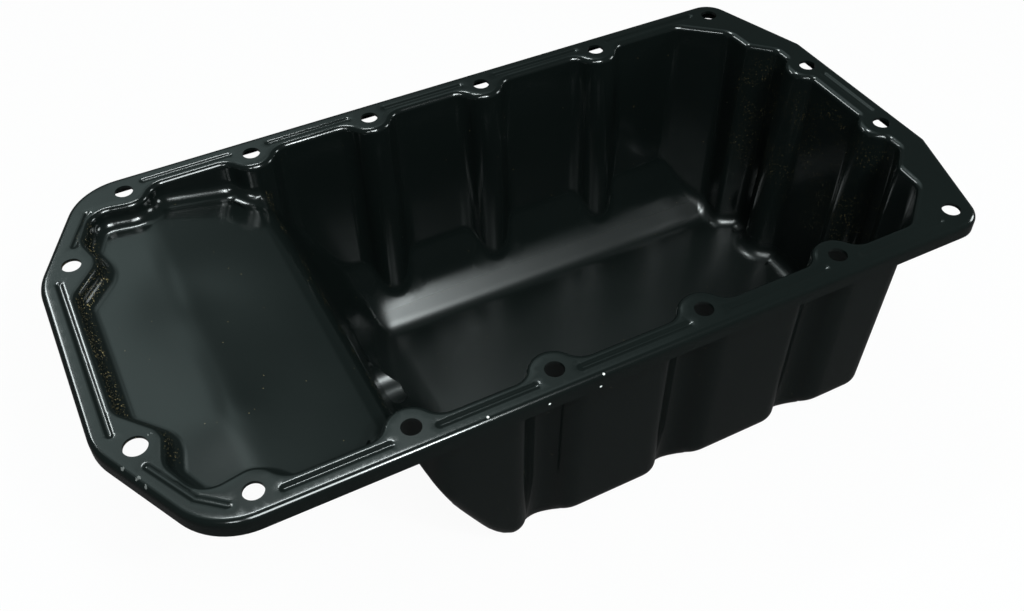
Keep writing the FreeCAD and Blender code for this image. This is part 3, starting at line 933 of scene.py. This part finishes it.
def black_paint(settings):
    """Gloss black paint with dust, a few white nicks and scuffs, and faint waves in the pressed sheet."""
    f = Finish("gloss_black_paint")
    at = f.place()
    axes = f.split(at)
    z = axes[2]
    cloud = f.noise(at, 9.0, 3.0, 0.55)
    colour = f.mix(cloud, (*settings.paint, 1.0), (*[c * 1.7 for c in settings.paint], 1.0))

    # Dust lies as fine golden specks on the tray's left foot, the tray's edge and the right wall's flutes
    speck = f.ramp(f.noise(at, 1100.0, 2.0, 0.6), 0.60, 0.72)
    patchy = f.node("ShaderNodeMapRange", {},
                    {"Value": f.noise(at, 60.0, 3.0), "From Min": 0.42, "From Max": 0.62})
    left_foot = f.zone(axes, LEFT_FOOT_DUST) * 0.9
    edge = f.zone(axes, EDGE_DUST) * 0.8
    right = f.zone(axes, RIGHT_WALL_DUST) * 0.22
    dust = (left_foot + edge.larger(right) * patchy) * speck
    sprinkle = f.node("ShaderNodeTexVoronoi", {"feature": "F1"},
                      {"Vector": at, "Scale": 130.0, "Randomness": 1.0})
    dust = dust.larger((sprinkle < 0.03) * 0.35 * (z < -0.006))
    colour = f.mix(dust, colour, DUST_COLOUR)

    # Nicks are bare metal; a scuff is a spot broken up by noise
    nick = f.spots(at, [(place, NICK_RADIUS, NICK_SOFTNESS) for place in NICKS])
    rubbed = f.drawn_noise(at, (900.0, 260.0, 300.0), 3.0)
    scuff = f.spots(at, [((x, y, 0.0), NICK_RADIUS, reach) for x, y, reach in SCUFFS])
    nick = nick.larger((scuff * rubbed > 0.44) * 0.10)
    colour = f.mix(nick, colour, NICK_COLOUR)

    # The well's floor is duller, and the walls carry faint waves from the drawing
    deep = f.band(z, -0.14, -0.122, 0.01)
    rough = settings.roughness + cloud * 0.05 + deep * 0.14 + dust * 0.5 + nick * 0.3
    draw = f.drawn_noise(at, (6.0, 6.0, 190.0), 2.0)
    relief = cloud * 0.9 + draw * f.band(z, -0.09, -0.012, 0.004) * 0.05
    bump = f.node("ShaderNodeBump", {}, {"Height": relief, "Strength": 0.3, "Distance": 0.001})
    return f.set(colour=colour, roughness=rough, normal=bump, ior=1.42)


def zinc():
    """Zinc-plated steel with fine scratches."""
    f = Finish("zinc_plated_steel")
    at = f.place()
    cloud = f.noise(at, 120.0, 4.0)
    scratch = f.drawn_noise(at, (40.0, 900.0, 900.0), 2.0)
    colour = f.mix(cloud, (0.42, 0.42, 0.40, 1.0), (0.62, 0.61, 0.56, 1.0))
    bump = f.node("ShaderNodeBump", {}, {"Height": scratch, "Strength": 0.2, "Distance": 0.0002})
    return f.set(colour=colour, roughness=0.26 + cloud * 0.14, metallic=1.0, normal=bump)


def soft_aluminium():
    """Dull soft aluminium of the sealing washer."""
    f = Finish("soft_aluminium")
    cloud = f.noise(f.place(), 200.0, 3.0)
    colour = f.mix(cloud, (0.66, 0.66, 0.67, 1.0), (0.80, 0.80, 0.81, 1.0))
    return f.set(colour=colour, roughness=0.32 + cloud * 0.1, metallic=1.0)


# Add-on

class PanSettings(bpy.types.PropertyGroup):
    paint: bpy.props.FloatVectorProperty(
        name="Paint", description="Colour of the black paint", subtype="COLOR", size=3, min=0.0, max=1.0,
        default=(0.0020, 0.0029, 0.0027))
    roughness: bpy.props.FloatProperty(
        name="Roughness", description="Roughness of the paint's gloss", min=0.02, max=1.0, default=0.13)


class StudioSettings(bpy.types.PropertyGroup):
    key: bpy.props.FloatProperty(
        name="Key light", description="Power of the softbox above the camera", unit="POWER", min=0.0,
        default=19.0)
    fill: bpy.props.FloatProperty(
        name="Room", description="Level of the room's even light", min=0.0, default=0.22)
    mirrored: bpy.props.FloatProperty(
        name="Floor in gloss", description="How bright the floor looks in reflections", min=0.0, max=1.0,
        default=0.08)


class OILPAN_OT_shell(bpy.types.Operator):
    """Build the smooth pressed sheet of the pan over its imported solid"""
    bl_idname = "oilpan.shell"
    bl_label = "Pressed pan"

    def execute(self, context):
        shell = sheet_mesh().build("pressed_pan")
        weld(shell)
        modifier = shell.modifiers.new("Sheet", "SOLIDIFY")
        modifier.thickness = SHEET * MM
        modifier.offset = -1.0
        bpy.ops.object.modifier_apply(modifier=modifier.name)
        open_pocket(shell)
        pocket = drain_pad().build("drain_pocket")
        weld(pocket)
        paint = black_paint(context.scene.oilpan_pan)
        for piece in (shell, pocket):
            select_only(piece)
            bpy.ops.object.shade_smooth_by_angle(angle=math.radians(SMOOTH_ANGLE))
            piece.data.materials.append(paint)
            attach(piece, "root")
        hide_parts("oil_pan")
        return {"FINISHED"}


class OILPAN_OT_drain(bpy.types.Operator):
    """Finish the drain bush, washer and plug"""
    bl_idname = "oilpan.drain"
    bl_label = "Drain"

    def execute(self, context):
        for name, finish in (("drain_bush", black_paint(context.scene.oilpan_pan)),
                             ("drain_plug", zinc()),
                             ("drain_washer", soft_aluminium())):
            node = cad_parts[name]
            node.data.materials.clear()
            node.data.materials.append(finish)
        return {"FINISHED"}


def area_light(name, place, size, power):
    """A rectangular lamp that looks at the middle of the pan."""
    bpy.ops.object.light_add(type="AREA", location=[c * MM for c in place])
    lamp = bpy.context.object
    lamp.name = name
    lamp.data.shape = "RECTANGLE"
    lamp.data.size = size[0] * MM
    lamp.data.size_y = size[1] * MM
    lamp.data.energy = power
    lamp.data.color = LAMP_COLOUR
    aim = Vector([t - p for t, p in zip(LAMP_TARGET, place)])
    lamp.rotation_euler = aim.to_track_quat("-Z", "Y").to_euler()


def add_floor(studio):
    """Pale floor that looks white to the camera, keeps some shadow and is dim in reflections."""
    bpy.ops.object.select_all(action="DESELECT")
    bpy.ops.mesh.primitive_plane_add(size=8.0, location=(0.0, 0.0, CAD_BOX[0][2] - 0.0001))
    floor = bpy.context.object
    floor.name = "studio_floor"
    f = Finish("pale_floor")
    f.set(colour=(0.42, 0.42, 0.42, 1.0), roughness=0.9)
    path = f.tree.nodes.new("ShaderNodeLightPath")
    seen = Socket(f.tree, path.outputs["Is Camera Ray"])
    glossy = Socket(f.tree, path.outputs["Is Glossy Ray"])
    mirrored = glossy.larger(Socket(f.tree, path.outputs["Is Transmission Ray"]))
    strength = seen.larger(mirrored * studio.mirrored)
    white = f.node("ShaderNodeEmission", {}, {"Color": (1.0, 1.0, 1.0, 1.0), "Strength": strength})
    blend = f.tree.nodes.new("ShaderNodeMixShader")
    f.tree.links.new((seen * 0.95).larger(mirrored).link, blend.inputs[0])
    f.tree.links.new(f.shader.outputs[0], blend.inputs[1])
    f.tree.links.new(white.link, blend.inputs[2])
    f.tree.links.new(blend.outputs[0], f.tree.nodes["Material Output"].inputs[0])
    floor.data.materials.append(f.material)


def add_room(scene, studio):
    """Dim room with one cloudy bright patch, which the paint mirrors; the camera sees it white."""
    world = bpy.data.worlds.new("room")
    scene.world = world
    world.use_nodes = True
    tree = world.node_tree
    sky = Nodes(tree)
    way = sky.node("ShaderNodeTexCoord", output="Generated")
    cloud = sky.ramp(sky.noise(way, 6.0, 1.0, 0.4), 0.42, 0.62)
    facing = sky.node("ShaderNodeVectorMath", {"operation": "DOT_PRODUCT"}, {0: way, 1: ROOM_PATCH},
                      output="Value")
    patch = sky.ramp(facing, 0.80, 0.985)
    room = tree.nodes["Background"]
    room.inputs["Color"].default_value = ROOM_COLOUR
    level = studio.fill * 0.4 + patch * (cloud * 0.6 + 0.4) * studio.fill * 5.5
    tree.links.new(level.link, room.inputs["Strength"])
    white = tree.nodes.new("ShaderNodeBackground")
    white.inputs["Strength"].default_value = 1.0
    path = tree.nodes.new("ShaderNodeLightPath")
    blend = tree.nodes.new("ShaderNodeMixShader")
    tree.links.new(path.outputs["Is Camera Ray"], blend.inputs[0])
    tree.links.new(room.outputs[0], blend.inputs[1])
    tree.links.new(white.outputs[0], blend.inputs[2])
    tree.links.new(blend.outputs[0], tree.nodes["World Output"].inputs[0])


def add_camera(scene):
    data = bpy.data.cameras.new("camera")
    camera = bpy.data.objects.new("camera", data)
    scene.collection.objects.link(camera)
    data.sensor_width = 36.0
    data.lens = CAMERA_LENS
    columns = (Vector(CAMERA_RIGHT), -Vector(CAMERA_DOWN), -Vector(CAMERA_FORWARD))
    turn = Matrix([[columns[j][i] for j in range(3)] for i in range(3)]).to_4x4()
    camera.matrix_world = Matrix.Translation(point(*CAMERA_AT)) @ turn
    scene.camera = camera


class OILPAN_OT_studio(bpy.types.Operator):
    """Set up the floor, lights, background and camera"""
    bl_idname = "oilpan.studio"
    bl_label = "Studio"

    def execute(self, context):
        studio = context.scene.oilpan_studio
        add_floor(studio)
        add_room(context.scene, studio)
        for name, place, size, share in LAMPS:
            area_light(name, place, size, studio.key * share)
        add_camera(context.scene)
        context.scene.view_settings.view_transform = "Standard"
        return {"FINISHED"}


class OILPAN_PT_panel(bpy.types.Panel):
    """Paint and studio settings of the oil pan, and its steps"""
    bl_idname = "OILPAN_PT_panel"
    bl_label = "Oil pan"
    bl_space_type = "VIEW_3D"
    bl_region_type = "UI"
    bl_category = "Oil pan"

    def draw(self, context):
        for group in (context.scene.oilpan_pan, context.scene.oilpan_studio):
            for name in group.__annotations__:
                self.layout.prop(group, name)
        for operator in ("oilpan.shell", "oilpan.drain", "oilpan.studio"):
            self.layout.operator(operator)


CLASSES = (PanSettings, StudioSettings, OILPAN_OT_shell, OILPAN_OT_drain, OILPAN_OT_studio, OILPAN_PT_panel)


def register():
    for entry in CLASSES:
        bpy.utils.register_class(entry)
    bpy.types.Scene.oilpan_pan = bpy.props.PointerProperty(type=PanSettings)
    bpy.types.Scene.oilpan_studio = bpy.props.PointerProperty(type=StudioSettings)


def unregister():
    del bpy.types.Scene.oilpan_studio
    del bpy.types.Scene.oilpan_pan
    for entry in reversed(CLASSES):
        bpy.utils.unregister_class(entry)


def main():
    register()
    bpy.ops.oilpan.shell()
    bpy.ops.oilpan.drain()
    bpy.ops.oilpan.studio()


if __name__ == "__main__":
    main()
